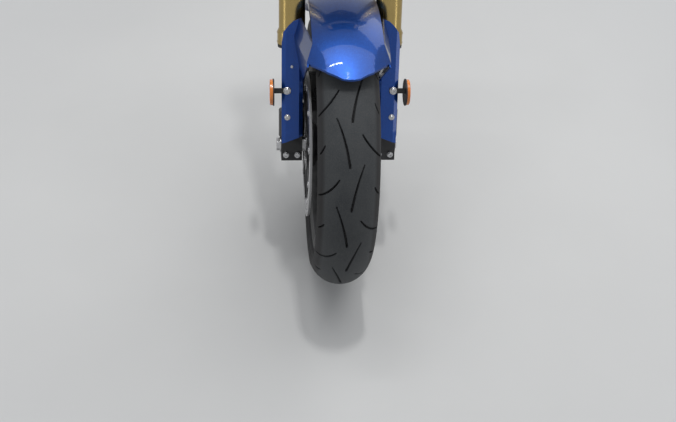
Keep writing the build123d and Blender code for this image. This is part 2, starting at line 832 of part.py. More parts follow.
for side, name in sides:
    # Guard of the slider: a bevelled channel ahead of the leg, trimmed to its outline
    edge = cover_width / 2
    face_edge = edge - cover_bevel_width
    with BuildPart() as cover:
        with BuildSketch(leg_plane(side).offset(cover_bottom_outer)):
            with BuildLine():
                Polyline(
                    (-edge, cover_bevel - cover_reach),
                    (-face_edge, -cover_reach),
                    (face_edge, -cover_reach),
                    (edge, cover_bevel - cover_reach),
                    (edge - cover_wall, cover_bevel - cover_reach + cover_wall / 2),
                    (face_edge - cover_wall / 2, cover_wall - cover_reach),
                    (cover_wall / 2 - face_edge, cover_wall - cover_reach),
                    (cover_wall - edge, cover_bevel - cover_reach + cover_wall / 2),
                    close=True,
                )
            make_face()
        extrude(amount=cover_crest[-1][1])
        with BuildSketch(leg_section(side)):
            with BuildLine():
                Polyline(
                    (side * edge, cover_bottom_outer),
                    (-side * edge, cover_bottom_inner),
                    (-side * edge, cover_flange_top),
                    (-side * cover_neck, wing_heights[1]),
                    *[(side * out, height) for out, height in reversed(cover_crest)],
                    (side * edge, cover_shoulder),
                    close=True,
                )
            make_face()
        extrude(amount=2 * cover_reach, mode=Mode.INTERSECT)
        with BuildSketch(leg_plane(side).offset(cover_bottom_inner)):
            for end in (-1, 1):
                with Locations((end * (edge - cover_wall / 2), cover_bevel - cover_reach + cover_flange / 2)):
                    Rectangle(cover_wall, cover_flange)
        extrude(amount=cover_flange_top - cover_bottom_inner)
        seat_plane = leg_plane(side).offset(cover_seat_height)
        seat_origin = seat_plane.from_local_coords(Vector(0, cover_wall / 2 - cover_reach, 0))
        with BuildSketch(Plane(origin=seat_origin, x_dir=(1, 0, 0), z_dir=-forward)):
            Circle(cover_seat_radius)
        extrude(amount=cover_reach - cover_wall / 2 - socket_radius)
    save(cover, f"fork_guard_{name}")

    # Reflector: a round lens on a backing dish, on a strap across the guard's face
    center = leg_origin(side) + steering_up * reflector_height + forward * reflector_lead
    stand = Plane(origin=center, x_dir=(0, 1, 0), z_dir=(1, 0, 0))
    lens_back = reflector_plane - leg_x - reflector_lens
    with BuildPart() as reflector:
        with BuildSketch(stand.offset(side * lens_back)):
            Circle(reflector_radius)
        extrude(amount=side * reflector_lens)
    save(reflector, f"reflector_{name}")

    strap_end = lens_back - reflector_dish / 2
    with BuildPart() as bracket:
        with BuildSketch(stand.offset(side * (lens_back - reflector_dish))):
            Circle(reflector_radius + reflector_rim)
        extrude(amount=side * reflector_dish)
        with BuildSketch(leg_section(side).offset(cover_reach)):
            with Locations((side * (strap_start + strap_end) / 2, strap_height)):
                Rectangle(strap_end - strap_start, strap_width)
        extrude(amount=strap_thickness)
    save(bracket, f"reflector_bracket_{name}")
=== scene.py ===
import json
from math import asin, cos, pi, radians, sin, sqrt
import bmesh
import bpy
import numpy as np
from mathutils import Matrix, Vector


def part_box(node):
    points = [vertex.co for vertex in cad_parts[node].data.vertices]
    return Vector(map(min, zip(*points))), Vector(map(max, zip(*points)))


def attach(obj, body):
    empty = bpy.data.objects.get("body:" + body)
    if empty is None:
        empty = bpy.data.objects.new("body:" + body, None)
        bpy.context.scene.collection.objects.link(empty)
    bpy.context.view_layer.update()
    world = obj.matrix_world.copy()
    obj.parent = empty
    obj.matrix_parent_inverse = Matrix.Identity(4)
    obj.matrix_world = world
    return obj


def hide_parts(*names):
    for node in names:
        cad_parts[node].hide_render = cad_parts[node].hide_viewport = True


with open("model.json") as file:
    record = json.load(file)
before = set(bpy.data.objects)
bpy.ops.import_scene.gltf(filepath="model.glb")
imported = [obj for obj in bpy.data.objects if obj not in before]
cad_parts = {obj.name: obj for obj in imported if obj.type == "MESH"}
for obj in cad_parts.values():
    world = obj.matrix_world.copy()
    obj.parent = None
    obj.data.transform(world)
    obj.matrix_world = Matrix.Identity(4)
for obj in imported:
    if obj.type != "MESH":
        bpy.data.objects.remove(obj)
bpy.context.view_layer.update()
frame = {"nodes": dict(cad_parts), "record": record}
print("frame loaded")

# The places that everything else is worked out from, in metres
tyreBox = [np.array(corner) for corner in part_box("tyre")]
axle = (tyreBox[0] + tyreBox[1]) / 2
tyreRadius = (tyreBox[1][2] - tyreBox[0][2]) / 2
floorHeight = tyreBox[0][2]
stemMount = next(m for m in frame["record"]["mounts"] if m["name"] == "steering_stem")
legUp = np.array(stemMount["axis"]) / np.linalg.norm(stemMount["axis"])
across = np.array([1.0, 0.0, 0.0])
legAhead = np.cross(legUp, across) * -1.0      # square to the leg, towards the front
legX = sum(corner[0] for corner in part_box("fork_slider_left")) / 2
sides = ((1, "left"), (-1, "right"))


def legPoint(side, x, ahead, height):
    # a point from a leg's foot on the axle: out from the leg, ahead of it and up it
    return axle + across * side * (legX + x) + legAhead * ahead + legUp * height


# Meshes from arrays
def newPiece(name, points, faces, body, slotName, sharpAngle, fields=None):
    # points is an (n, 3) array in metres and faces an (m, 4) array of point numbers;
    # fields are named values, one for each point, and edges over sharpAngle stay sharp
    mesh = bpy.data.meshes.new(name)
    corners = faces.shape[1]
    mesh.vertices.add(len(points))
    mesh.vertices.foreach_set("co", np.ascontiguousarray(points, dtype=np.float32).ravel())
    mesh.loops.add(faces.size)
    mesh.loops.foreach_set("vertex_index", np.ascontiguousarray(faces, dtype=np.int32).ravel())
    mesh.polygons.add(len(faces))
    mesh.polygons.foreach_set("loop_start", np.arange(0, faces.size, corners, dtype=np.int32))
    mesh.update(calc_edges=True)
    mesh.validate()
    for field, values in (fields or {}).items():
        mesh.attributes.new(field, "FLOAT", "POINT").data.foreach_set("value", values.astype(np.float32))
    mesh.shade_smooth()
    piece = bpy.data.objects.new(name, mesh)
    bpy.context.scene.collection.objects.link(piece)
    cleanMesh(mesh)
    mesh.set_sharp_from_angle(angle=radians(sharpAngle))
    mesh.materials.append(finishes[slotName])
    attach(piece, body)
    return piece


def cleanMesh(mesh):
    # merges the points of closed seams and poles, then points the faces outwards
    work = bmesh.new()
    work.from_mesh(mesh)
    bmesh.ops.remove_doubles(work, verts=work.verts, dist=1e-6)
    bmesh.ops.dissolve_degenerate(work, edges=work.edges, dist=1e-7)
    bmesh.ops.recalc_face_normals(work, faces=work.faces)
    work.to_mesh(mesh)
    work.free()


def gridFaces(rows, columns, closeRows=False, closeColumns=False):
    # quads between neighbouring points of a rows by columns grid, wrapped where closed
    rowSteps = rows if closeRows else rows - 1
    columnSteps = columns if closeColumns else columns - 1
    r, c = np.meshgrid(np.arange(rowSteps), np.arange(columnSteps), indexing="ij")
    r, c = r.ravel(), c.ravel()
    rNext, cNext = (r + 1) % rows, (c + 1) % columns
    corners = [r * columns + c, r * columns + cNext, rNext * columns + cNext, rNext * columns + c]
    return np.stack(corners, axis=1)


def turned(profile, steps=24):
    # a profile of (radius, height, flats) rows turned about z: the radius is a circle's
    # where flats is 0, and otherwise the distance out to each of that many flats, which
    # is divided by the cosine of the angle from the flat's middle
    phi = np.linspace(0, 2 * pi, steps, endpoint=False)
    radius, height, flats = (np.array(column, dtype=float)[:, None] for column in zip(*profile))
    sector = 2 * pi / np.where(flats > 0, flats, 1)
    fromMiddle = np.where(flats > 0, np.mod(phi, sector) - sector / 2, 0)
    reach = radius / np.cos(fromMiddle)
    levels = np.repeat(height, steps, axis=1)
    points = np.stack([reach * np.cos(phi), reach * np.sin(phi), levels], axis=-1)
    return points.reshape(-1, 3), gridFaces(len(profile), steps, closeColumns=True)


def aimed(points, origin, axis):
    # turns z onto the axis and moves the shape to its origin
    turn = np.array(Vector(axis).to_track_quat("Z", "Y").to_matrix())
    return points @ turn.T + np.asarray(origin)


def joined(parts):
    # one mesh's points and faces from several
    points, faces, count = [], [], 0
    for partPoints, partFaces in parts:
        points.append(partPoints)
        faces.append(partFaces + count)
        count += len(partPoints)
    return np.concatenate(points), np.concatenate(faces)


# Materials: each pattern is worked out from Object coordinates, which are metres from the
# object's own origin
class Paint:
    def __init__(self, name, **sockets):
        # sockets are constant values of the shader's own sockets, with _ for each space
        self.material = bpy.data.materials.new(name)
        self.material.use_nodes = True
        self.tree = self.material.node_tree
        self.shader = self.tree.nodes["Principled BSDF"]
        self.place = self.node("ShaderNodeTexCoord").outputs["Object"]
        for socket, value in sockets.items():
            self.set(socket.replace("_", " "), value)

    def node(self, kind, inputs=None, **settings):
        # a node with its inputs linked, where one is a socket, or else set
        made = self.tree.nodes.new(kind)
        for key, value in settings.items():
            setattr(made, key, value)
        for key, value in (inputs or {}).items():
            if isinstance(value, bpy.types.NodeSocket):
                self.tree.links.new(value, made.inputs[key])
            else:
                made.inputs[key].default_value = value
        return made

    def set(self, socket, value):
        # links or sets one of the shader's own sockets
        target = next(s for s in self.shader.inputs if s.name.lower() == socket.lower())
        if isinstance(value, bpy.types.NodeSocket):
            self.tree.links.new(value, target)
        else:
            target.default_value = (*value, 1.0) if isinstance(value, tuple) and len(value) == 3 else value

    def noise(self, scale, detail=3.0, stretch=None, lean=0.0):
        # stretch is how much finer the pattern is along each of its own axes, and lean is
        # how far those are turned about x
        source = self.place
        if stretch:
            coarser = tuple(1 / finer for finer in stretch)
            mapping = {"Vector": source, "Rotation": (lean, 0, 0), "Scale": coarser}
            source = self.node("ShaderNodeMapping", mapping, vector_type="TEXTURE").outputs[0]
        inputs = {"Vector": source, "Scale": scale, "Detail": detail}
        return self.node("ShaderNodeTexNoise", inputs).outputs[0]

    def remap(self, value, low, high, toLow, toHigh):
        # low to high becomes toLow to toHigh, held at both ends
        inputs = {"Value": value, "From Min": low, "From Max": high, "To Min": toLow, "To Max": toHigh}
        return self.node("ShaderNodeMapRange", inputs).outputs[0]

    def math(self, operation, first, second=0.0):
        # one operation on two values
        return self.node("ShaderNodeMath", {0: first, 1: second}, operation=operation).outputs[0]

    def mix(self, factor, first, second):
        # the first colour at 0 and the second at 1; each is a tuple or a socket
        first, second = ((*c, 1.0) if isinstance(c, tuple) else c for c in (first, second))
        inputs = {"Factor": factor, 6: first, 7: second}
        return self.node("ShaderNodeMix", inputs, data_type="RGBA").outputs[2]

    def attribute(self, name):
        # a named value of the mesh, one for each point
        return self.node("ShaderNodeAttribute", attribute_name=name).outputs["Fac"]

    def bump(self, height, distance, strength=1.0, normal=None):
        # distance is the relief's height in metres, laid over the normal of another bump
        inputs = {"Height": height, "Distance": distance, "Strength": strength}
        if normal is not None:
            inputs["Normal"] = normal
        made = self.node("ShaderNodeBump", inputs).outputs[0]
        self.set("Normal", made)
        return made

    def fromAxle(self):
        # the distance out from the axle line, for rings and circular grinding marks
        moved = self.node("ShaderNodeMapping", {"Vector": self.place, "Location": tuple(-axle)}).outputs[0]
        flat = self.node("ShaderNodeVectorMath", {0: moved, 1: (0, 1, 1)}, operation="MULTIPLY").outputs[0]
        return self.node("ShaderNodeVectorMath", {0: flat}, operation="LENGTH").outputs["Value"]


def tyreRubber():
    # dark rubber, greyer and dustier where the tread wears, with fine grain and scuffs, and painted shade
    # that darkens the grooves to near black
    paint = Paint("tyreRubber", Specular_IOR_Level=0.35)
    dust = paint.noise(26, 5)
    fine = paint.noise(420, 4)
    groove = paint.attribute("groove")
    wear = paint.attribute("wear")
    side = paint.mix(paint.remap(dust, 0.35, 0.7, 0, 1), (0.016, 0.016, 0.018), (0.032, 0.031, 0.031))
    tread = paint.mix(paint.remap(dust, 0.3, 0.7, 0, 1), (0.036, 0.040, 0.044), (0.064, 0.068, 0.071))
    speckled = paint.mix(paint.remap(fine, 0.45, 0.75, 0, 0.5), tread, (0.09, 0.09, 0.088))
    faced = paint.mix(wear, side, speckled)
    # painted shade: the floors and walls of the grooves go near black
    paint.set("Base Color", paint.mix(groove, faced, (0.006, 0.006, 0.007)))
    paint.set("Roughness", paint.remap(dust, 0.3, 0.7, 0.62, 0.86))
    grain = paint.noise(2600, 3)
    scuffs = paint.noise(90, 4, stretch=(1.0, 5.0, 5.0))
    first = paint.bump(grain, 0.00012, 0.5)
    paint.bump(scuffs, 0.0006, 0.35, first)
    return paint.material


def satinBlack(name, colour, rough, grainScale=1500):
    # powder coat with an orange peel, rougher and dustier in patches
    paint = Paint(name)
    patches = paint.noise(18, 5)
    peel = paint.noise(grainScale, 2)
    lifted = tuple(min(1.0, c * 1.9 + 0.006) for c in colour)
    paint.set("Base Color", paint.mix(paint.remap(patches, 0.4, 0.75, 0, 1), colour, lifted))
    paint.set("Roughness", paint.remap(patches, 0.3, 0.7, rough - 0.07, rough + 0.1))
    paint.bump(peel, 0.00006, 0.6)
    return paint.material


def metal(name, colour, rough, streaks=(1, 1, 1), spread=0.08, relief=0.00003, wear=0.85, lean=0.0):
    # bare metal with streaks along the way it was worked
    paint = Paint(name, Metallic=1.0)
    lines = paint.noise(300, 3, stretch=streaks, lean=lean)
    cloud = paint.noise(22, 4)
    darker = tuple(c * wear for c in colour)
    paint.set("Base Color", paint.mix(paint.remap(cloud, 0.3, 0.7, 0, 1), colour, darker))
    paint.set("Roughness", paint.remap(lines, 0.3, 0.7, rough - spread, rough + spread))
    paint.bump(lines, relief, 0.4)
    return paint.material


def discSteel():
    # ground in rings about the axle, with heat and pad marks in wider rings, and darker
    # inside the band that the pads sweep
    sweptFrom, sweptFull = 0.1225, 0.1245
    paint = Paint("discSteel", Metallic=1.0)
    reach = paint.fromAxle()
    rings, bands = (
        paint.node("ShaderNodeTexNoise", {"W": reach, "Scale": scale, "Detail": 2.0},
                   noise_dimensions="1D").outputs[0]
        for scale in (2400.0, 160.0))
    swept = paint.remap(reach, sweptFrom, sweptFull, 0.0, 1.0)
    ground = paint.mix(paint.remap(bands, 0.35, 0.7, 0, 1), (0.40, 0.40, 0.41), (0.56, 0.56, 0.57))
    paint.set("Base Color", paint.mix(swept, (0.22, 0.22, 0.23), ground))
    paint.set("Roughness", paint.remap(rings, 0.3, 0.7, 0.22, 0.42))
    paint.bump(rings, 0.00004, 0.5)
    return paint.material


def bluePaint():
    # metallic blue under clear coat: flakes light up one by one, edges turn darker, partly as the paint's
    # flop and partly as painted shade on the sides, and some patches duller
    paint = Paint("bluePaint", Metallic=0.85, Coat_Weight=0.55, Coat_Roughness=0.03, Roughness=0.38)
    facing = paint.node("ShaderNodeLayerWeight", {"Blend": 0.32}).outputs["Facing"]
    flakes = paint.node("ShaderNodeTexVoronoi", {"Vector": paint.place, "Scale": 2600.0}).outputs["Color"]
    tone = paint.node("ShaderNodeSeparateColor", {"Color": flakes}).outputs[0]
    # darker towards grazing views: the metallic flop, with painted shade for the sides that turn away
    depth = paint.mix(facing, (0.003, 0.050, 0.27), (0.001, 0.010, 0.055))
    sparkle = paint.mix(paint.remap(tone, 0.80, 1.0, 0.0, 0.5), depth, (0.03, 0.18, 0.70))
    cloud = paint.noise(14, 3)
    paint.set("Base Color", paint.mix(paint.remap(cloud, 0.35, 0.7, 0, 0.25), sparkle, (0.002, 0.030, 0.17)))
    paint.bump(tone, 0.00002, 0.35)
    return paint.material


def mouldedPlastic(name, colour, rough):
    # fine pebble grain with a dusty bloom
    paint = Paint(name)
    grain = paint.node("ShaderNodeTexVoronoi", {"Vector": paint.place, "Scale": 1400.0}).outputs["Distance"]
    bloom = paint.noise(20, 5)
    dusty = tuple(c * 2 + 0.01 for c in colour)
    paint.set("Base Color", paint.mix(paint.remap(bloom, 0.4, 0.8, 0, 1), colour, dusty))
    paint.set("Roughness", paint.remap(bloom, 0.3, 0.7, rough - 0.06, rough + 0.08))
    paint.bump(grain, 0.00008, 0.5)
    return paint.material


def amberLens():
    # clear amber, deeper in patches, with fine scratches over the moulded prisms
    paint = Paint("amberLens", Coat_Weight=1.0, Coat_Roughness=0.04)
    cloud = paint.noise(60, 3)
    scratch = paint.noise(700, 3, stretch=(1, 8, 1))
    clear, deep = (0.90, 0.27, 0.012), (0.78, 0.19, 0.008)
    paint.set("Base Color", paint.mix(paint.remap(cloud, 0.3, 0.7, 0, 1), clear, deep))
    paint.set("Roughness", paint.remap(scratch, 0.3, 0.7, 0.12, 0.26))
    paint.bump(scratch, 0.00002, 0.4)
    return paint.material


def frictionBlock():
    # sintered pad material with coarse specks
    paint = Paint("frictionBlock", Metallic=0.5)
    specks = paint.noise(900, 2)
    binder, copper = (0.05, 0.045, 0.04), (0.22, 0.17, 0.12)
    paint.set("Base Color", paint.mix(paint.remap(specks, 0.45, 0.65, 0, 1), binder, copper))
    paint.set("Roughness", paint.remap(specks, 0.3, 0.7, 0.55, 0.9))
    paint.bump(specks, 0.0002, 0.5)
    return paint.material


# One material for each slot of the record; the streaks on the legs run along them
legLean = -float(np.arctan2(legUp[1], legUp[2]))
finishes = {
    "tyre": tyreRubber(),
    "wheel_black": satinBlack("wheelBlack", (0.012, 0.012, 0.013), 0.38),
    "steel": metal("turnedSteel", (0.52, 0.52, 0.53), 0.26, (3, 3, 3),
                   spread=0.05, relief=0.00001, wear=0.93),
    "bearing_steel": metal("bearingSteel", (0.42, 0.42, 0.43), 0.3),
    "disc_steel": discSteel(),
    "black_alloy": satinBlack("blackAlloy", (0.014, 0.014, 0.015), 0.42, 900),
    "caliper_black": satinBlack("caliperBlack", (0.010, 0.010, 0.011), 0.3, 700),
    "alloy": metal("clearAnodised", (0.62, 0.62, 0.63), 0.34),
    "gold_alloy": metal("goldAnodised", (0.42, 0.31, 0.12), 0.24, (2.4, 2.4, 0.03),
                        spread=0.07, relief=0.00001, wear=0.9, lean=legLean),
    "hard_chrome": metal("hardChrome", (0.62, 0.62, 0.63), 0.1, (3, 3, 0.05),
                         spread=0.04, relief=0.00001, lean=legLean),
    "seal_rubber": mouldedPlastic("sealRubber", (0.012, 0.012, 0.012), 0.6),
    "friction": frictionBlock(),
    "blue_plastic": bluePaint(),
    "black_plastic": mouldedPlastic("blackPlastic", (0.014, 0.014, 0.014), 0.5),
    "amber_lens": amberLens(),
}
slotOf = {part["node"]: part["material_slot"] for part in frame["record"]["subparts"]}
for node, piece in frame["nodes"].items():
    piece.data.materials.clear()
    piece.data.materials.append(finishes[slotOf[node]])
print("finishes on the packed pieces")


# Tyre with its cut tread, in two halves that meet on the centre line
tread = {
    "rows": 1080,              # round the tyre
    "columns": 58,             # from the centre line out across half the tread
    "slant": 0.9,              # how far the rows run back round the tyre for their way out
    "pitches": 11,
    "starts": {1: 34.8, -1: 51.2},    # degrees up to where a long groove starts on each side
    "depth": 0.0045,
    "edge": 0.00012,           # how far inside a groove its wall starts
    "wall": 0.0004,            # from there in to the groove's floor
    "worn": 0.052,             # how far out the road has greyed the rubber
    "wornFade": 0.006,
    "wideRadius": 0.258,
    # down a sidewall: radius, inset from the widest place, and how far a rib stands out
    "sidewall": [
        (0.2552, 0.0002, 0.0), (0.2530, 0.0005, 0.0), (0.2526, 0.0006, 0.0005), (0.2512, 0.0009, 0.0005),
        (0.2508, 0.0010, 0.0), (0.2475, 0.0017, 0.0), (0.2452, 0.0025, 0.0), (0.2449, 0.0026, 0.0006),
        (0.2441, 0.0029, 0.0006), (0.2438, 0.0030, 0.0), (0.2406, 0.0046, 0.0), (0.2382, 0.0062, 0.0),
        (0.2379, 0.0064, 0.0008), (0.2362, 0.0077, 0.0008), (0.2358, 0.0080, 0.0), (0.2336, 0.0104, 0.0),
        (0.2316, 0.0126, 0.0), (0.2295, 0.0150, 0.0),
    ],
    # inside, from the bead back to the middle: radius and place across
    "inside": [
        (0.2163, 0.0442), (0.2163, 0.0352), (0.230, 0.0372), (0.258, 0.054), (0.283, 0.030), (0.291, 0.0),
    ],
}

# Grooves of one pitch on one side of the centre line: where each starts and ends, in
# degrees up round the tyre and metres out across it, its half widths at the start,
# middle and end, and how far its middle bows towards the ground and the centre line
longGrooves = [(0.0, 0.0265, -17.6, 0.0024, 0.0015, 0.0024, 0.0028, 0.0030)]
shoulderGrooves = [
    (10.6, 0.0220, 2.4, 0.0720, 0.0017, 0.0025, 0.0021, 0.0052),
    (-9.6, 0.0530, -13.1, 0.0680, 0.0016, 0.0022, 0.0017, 0.0010),
]

# How the points nearest to a groove's edge slide onto it
sliding = {
    "tries": 3,
    "nudge": 0.0003,           # metres to each side, from which a slope is taken
    "leastSlope": 0.04,        # squared, so that no point leaps along a groove's side
    "near": 0.5,               # of a step of the grid: the points this near to an edge slide
    "most": 0.55,              # of a step: the furthest that a point goes in all
}
halfWidth = (tyreBox[1][0] - tyreBox[0][0]) / 2
crownRise = tyreRadius - tread["wideRadius"]
crownRadius = (halfWidth ** 2 + crownRise ** 2) / (2 * crownRise)
crownCentre = tyreRadius - crownRadius


def rowAngle(turn, out):
    # the angle up round the axle of a row, which runs back as it goes out
    return turn - tread["slant"] * out / tyreRadius


def grooveDistance(turn, out, start, grooves):
    # the least distance to any groove's side, negative inside: each groove is a bowed
    # strip whose half width changes along it, repeated every pitch
    pitch = 2 * pi / tread["pitches"]
    angle = rowAngle(turn, out)
    best = np.full(angle.shape, 1.0)
    for up0, out0, up1, out1, wide0, wideMid, wide1, bow in grooves:
        along0, along1 = radians(up0), radians(up1)
        local = np.mod(angle - (along0 + along1) / 2 - radians(start) + pitch / 2, pitch) - pitch / 2
        px, py = local * tyreRadius, out - (out0 + out1) / 2
        ax, ay = (along1 - along0) * tyreRadius, out1 - out0
        length = sqrt(ax * ax + ay * ay)
        ux, uy = ax / length, ay / length
        t = np.clip((px * ux + py * uy) / length + 0.5, 0.0, 1.0)
        hump = 4 * t * (1 - t)
        dx = px - (t - 0.5) * length * ux + uy * bow * hump
        dy = py - (t - 0.5) * length * uy - ux * bow * hump
        width = wide0 + (wide1 - wide0) * t + (wideMid - (wide0 + wide1) / 2) * hump
        best = np.minimum(best, np.sqrt(dx * dx + dy * dy) - width)
    return best


def edgeStep(turn, out, start, grooves, roundTyre, outwards):
    # Newton's step in metres onto the nearest edge, one way or the other over the tread:
    # the distance over its slope that way
    nudge = sliding["nudge"]
    swing, shift = roundTyre * nudge / tyreRadius, outwards * nudge
    ahead = grooveDistance(turn + swing, out + shift, start, grooves)
    behind = grooveDistance(turn - swing, out - shift, start, grooves)
    slope = (ahead - behind) / (2 * nudge)
    distance = grooveDistance(turn, out, start, grooves)
    return -distance * slope / np.maximum(slope ** 2, sliding["leastSlope"])


def slidToEdges(turn, out, start, onTread, columnStep, rowStep):
    # the points nearest to an edge go onto it: out along the row for a long groove, and
    # round the tyre for one on the shoulder
    nearColumn, nearRow = columnStep * sliding["near"], rowStep * sliding["near"]
    mostColumn, mostRow = columnStep * sliding["most"], rowStep * sliding["most"] / tyreRadius
    firstTurn, firstOut = turn, out
    nearLong = nearShoulder = None
    for _ in range(sliding["tries"]):
        stepOut = edgeStep(turn, out, start, longGrooves, 0, 1)
        stepRound = edgeStep(turn, out, start, shoulderGrooves, 1, 0)
        if nearLong is None:
            nearLong = (np.abs(stepOut) < nearColumn) & onTread
            nearShoulder = (np.abs(stepRound) < nearRow) & onTread & ~nearLong
        out = np.clip(out + stepOut * nearLong, firstOut - mostColumn, firstOut + mostColumn)
        turn = turn + np.clip(stepRound * nearShoulder, -nearRow, nearRow) / tyreRadius
        turn = np.clip(turn, firstTurn - mostRow, firstTurn + mostRow)
    return turn, out


def halfProfile():
    # place across, radius and way out over the tread: from the centre line over the
    # crown's arc, down the sidewall and back inside
    bend = np.linspace(0, asin(halfWidth / crownRadius), tread["columns"])
    sideRadius, inset, proud = (np.array(column) for column in zip(*tread["sidewall"]))
    innerRadius, innerAcross = (np.array(column) for column in zip(*tread["inside"]))
    wide = np.concatenate([crownRadius * np.sin(bend), halfWidth - inset + proud, innerAcross])
    radius = np.concatenate([crownCentre + crownRadius * np.cos(bend), sideRadius, innerRadius])
    out = np.full(len(wide), bend[-1] * crownRadius)
    out[:len(bend)] = bend * crownRadius
    return wide, radius, out


def tyreHalf(side):
    # the half profile carried round the axle on slanting rows, with the points between
    # a groove's edges dropped square to the crown to the groove's floor
    start = tread["starts"][side]
    wide, radius, out = halfProfile()
    count = np.arange(len(wide))
    onTread = (count > 0) & (count < tread["columns"] - 1)
    columnStep, rowStep = out[1], 2 * pi * tyreRadius / tread["rows"]
    turn, out = np.meshgrid(np.linspace(0, 2 * pi, tread["rows"], endpoint=False), out, indexing="ij")
    turn, out = slidToEdges(turn, out, start, onTread, columnStep, rowStep)
    toLong = grooveDistance(turn, out, start, longGrooves)
    toShoulder = grooveDistance(turn, out, start, shoulderGrooves)
    distance = np.minimum(toLong, toShoulder)
    sink = np.clip(-(distance + tread["edge"]) / tread["wall"], 0, 1) * onTread
    drop = sink * tread["depth"]
    lean = out / crownRadius
    wide = np.where(onTread, crownRadius * np.sin(lean), wide) - np.sin(lean) * drop
    radius = np.where(onTread, crownCentre + crownRadius * np.cos(lean), radius) - np.cos(lean) * drop
    angle = rowAngle(turn, out)
    points = np.stack([side * wide, -radius * np.cos(angle), radius * np.sin(angle)], axis=-1) + axle
    wear = np.clip((tread["worn"] - wide) / tread["wornFade"], 0, 1) * (count < tread["columns"])
    faces = gridFaces(tread["rows"], len(count), closeRows=True, closeColumns=True)
    # the groove field, how far each point has dropped into a groove, also sets the grooves' painted shade
    return points.reshape(-1, 3), faces, {"groove": sink.ravel(), "wear": wear.ravel()}


for side, sideName in sides:
    points, faces, fields = tyreHalf(side)
    tyre = newPiece(f"tyre_{sideName}", points, faces, "front_wheel", "tyre", 40, fields)
    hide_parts("tyre")
    print("tyre half", len(tyre.data.polygons), "faces")


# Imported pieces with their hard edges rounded: radius in metres of each
rounded = {
    "mudguard": 0.0007, "lower_yoke": 0.0012, "upper_yoke": 0.0012, "stem_nut": 0.0006, "wheel": 0.0011,
    "axle": 0.0005, "fork_guard": 0.0006, "fork_foot": 0.0011, "brake_caliper": 0.0012, "fork_cap": 0.0006,
    "fork_tube": 0.0005, "disc_carrier": 0.0005, "reflector_bracket": 0.0004, "dust_seal": 0.0007,
    "brake_disc": 0.0003,
}
rounding = {
    "merge": 2e-6,             # metres between points that are one
    "sliver": 1e-5,            # metres of the shortest edge that is kept where tabs are drawn up
    "flat": 0.4,               # degrees under which neighbouring faces are one
    "sharp": 28.0,             # degrees over which an edge is rounded
    "segments": 2,
}
bodyOf = {}
for body, nodes in frame["record"]["behaviour"]["bodies"].items():
    bodyOf.update({node: body for node in nodes})

# The tabs in which the mudguard's sides end, under its front corners
skirt = {
    "band": (0.0640, 0.0690),          # across, between which they stand
    "below": 0.2975,                   # the radius under which they lie
    "turn": (40.0, 79.0),              # degrees up from the front
    "facing": (0.53, -0.32, 0.785),    # of the plate over them
    "onPlate": (0.068, 79.3, 0.309),   # a point on it: across, degrees up and radius
    "under": 0.0032,                   # from that plate's face down to where they end
    "edge": (66.6, 0.043, 197.0),      # of the plate: degrees at a place across, and per metre
}


def drawnUp(points):
    # each tab is drawn up along its own radius to just under the plate's plane, and back
    # behind the plate's edge
    moved = points - axle
    reach = np.hypot(moved[:, 1], moved[:, 2])
    turn = np.degrees(np.arctan2(moved[:, 2], -moved[:, 1]))
    side = np.abs(moved[:, 0])
    inner, outer = skirt["band"]
    first, last = skirt["turn"]
    chosen = (side > inner) & (side < outer) & (turn > first) & (turn < last) & (reach < skirt["below"])
    facing = np.array(skirt["facing"]) / np.linalg.norm(skirt["facing"])
    x, angle, radius = skirt["onPlate"]
    onPlate = np.array([x, -radius * cos(radians(angle)), radius * sin(radians(angle))])
    level = facing @ onPlate - skirt["under"]
    outward = -facing[1] * np.cos(np.radians(turn)) + facing[2] * np.sin(np.radians(turn))
    wanted = (level - facing[0] * side) / outward
    drawn = np.where(chosen, np.maximum(wanted, reach), reach)
    edgeTurn, edgeSide, perMetre = skirt["edge"]
    behind = np.maximum(turn, edgeTurn + (side - edgeSide) * perMetre)
    back = np.radians(np.where(chosen, behind, turn))
    moved[:, 1] = -drawn * np.cos(back)
    moved[:, 2] = drawn * np.sin(back)
    return moved + axle


def softened(node, radius):
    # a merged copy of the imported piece, its flat faces made whole and its edges rounded
    mesh = bpy.data.meshes.new(node + "_rounded")
    work = bmesh.new()
    work.from_mesh(frame["nodes"][node].data)
    bmesh.ops.remove_doubles(work, verts=work.verts, dist=rounding["merge"])
    if node == "mudguard":
        work.to_mesh(mesh)
        places = np.empty(len(mesh.vertices) * 3, dtype=np.float32)
        mesh.vertices.foreach_get("co", places)
        mesh.vertices.foreach_set("co", drawnUp(places.reshape(-1, 3)).astype(np.float32).ravel())
        work.clear()
        work.from_mesh(mesh)
        bmesh.ops.dissolve_degenerate(work, edges=work.edges, dist=rounding["sliver"])
    flat, sharp = radians(rounding["flat"]), radians(rounding["sharp"])
    bmesh.ops.dissolve_limit(work, angle_limit=flat, verts=work.verts, edges=work.edges)
    work.to_mesh(mesh)
    work.free()
    mesh.shade_smooth()
    mesh.set_sharp_from_angle(angle=sharp)
    mesh.materials.clear()
    mesh.materials.append(finishes[slotOf[node]])
    piece = bpy.data.objects.new(node + "_rounded", mesh)
    bpy.context.scene.collection.objects.link(piece)
    bevel = piece.modifiers.new("edges", "BEVEL")
    bevel.limit_method = "ANGLE"
    bevel.angle_limit = sharp
    bevel.width = radius
    bevel.segments = rounding["segments"]
    bevel.use_clamp_overlap = True
    bevel.harden_normals = True
    bevel.miter_outer = "MITER_ARC"
    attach(piece, bodyOf[node])
    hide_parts(node)


for node in frame["nodes"]:
    kind = node.removesuffix("_left").removesuffix("_right")
    if kind in rounded:
        softened(node, rounded[kind])
print("rounded edges")


# Screws and small hardware, each kind a profile turned about its own axis, which sinks a
# little into what it sits on
hardware = {
    "steps": 36,
    "sunk": 0.0008, "tubeSunk": 0.0006,
    "socketFloor": 0.42, "shoulder": 0.86,          # up a head, as shares of its height
    "screwTop": 0.88, "hexTop": 0.92,               # out to its chamfer, as shares of its width
    "screwFlange": 0.0012, "hexFlange": 0.0016,     # heights of the flanges' tops
}


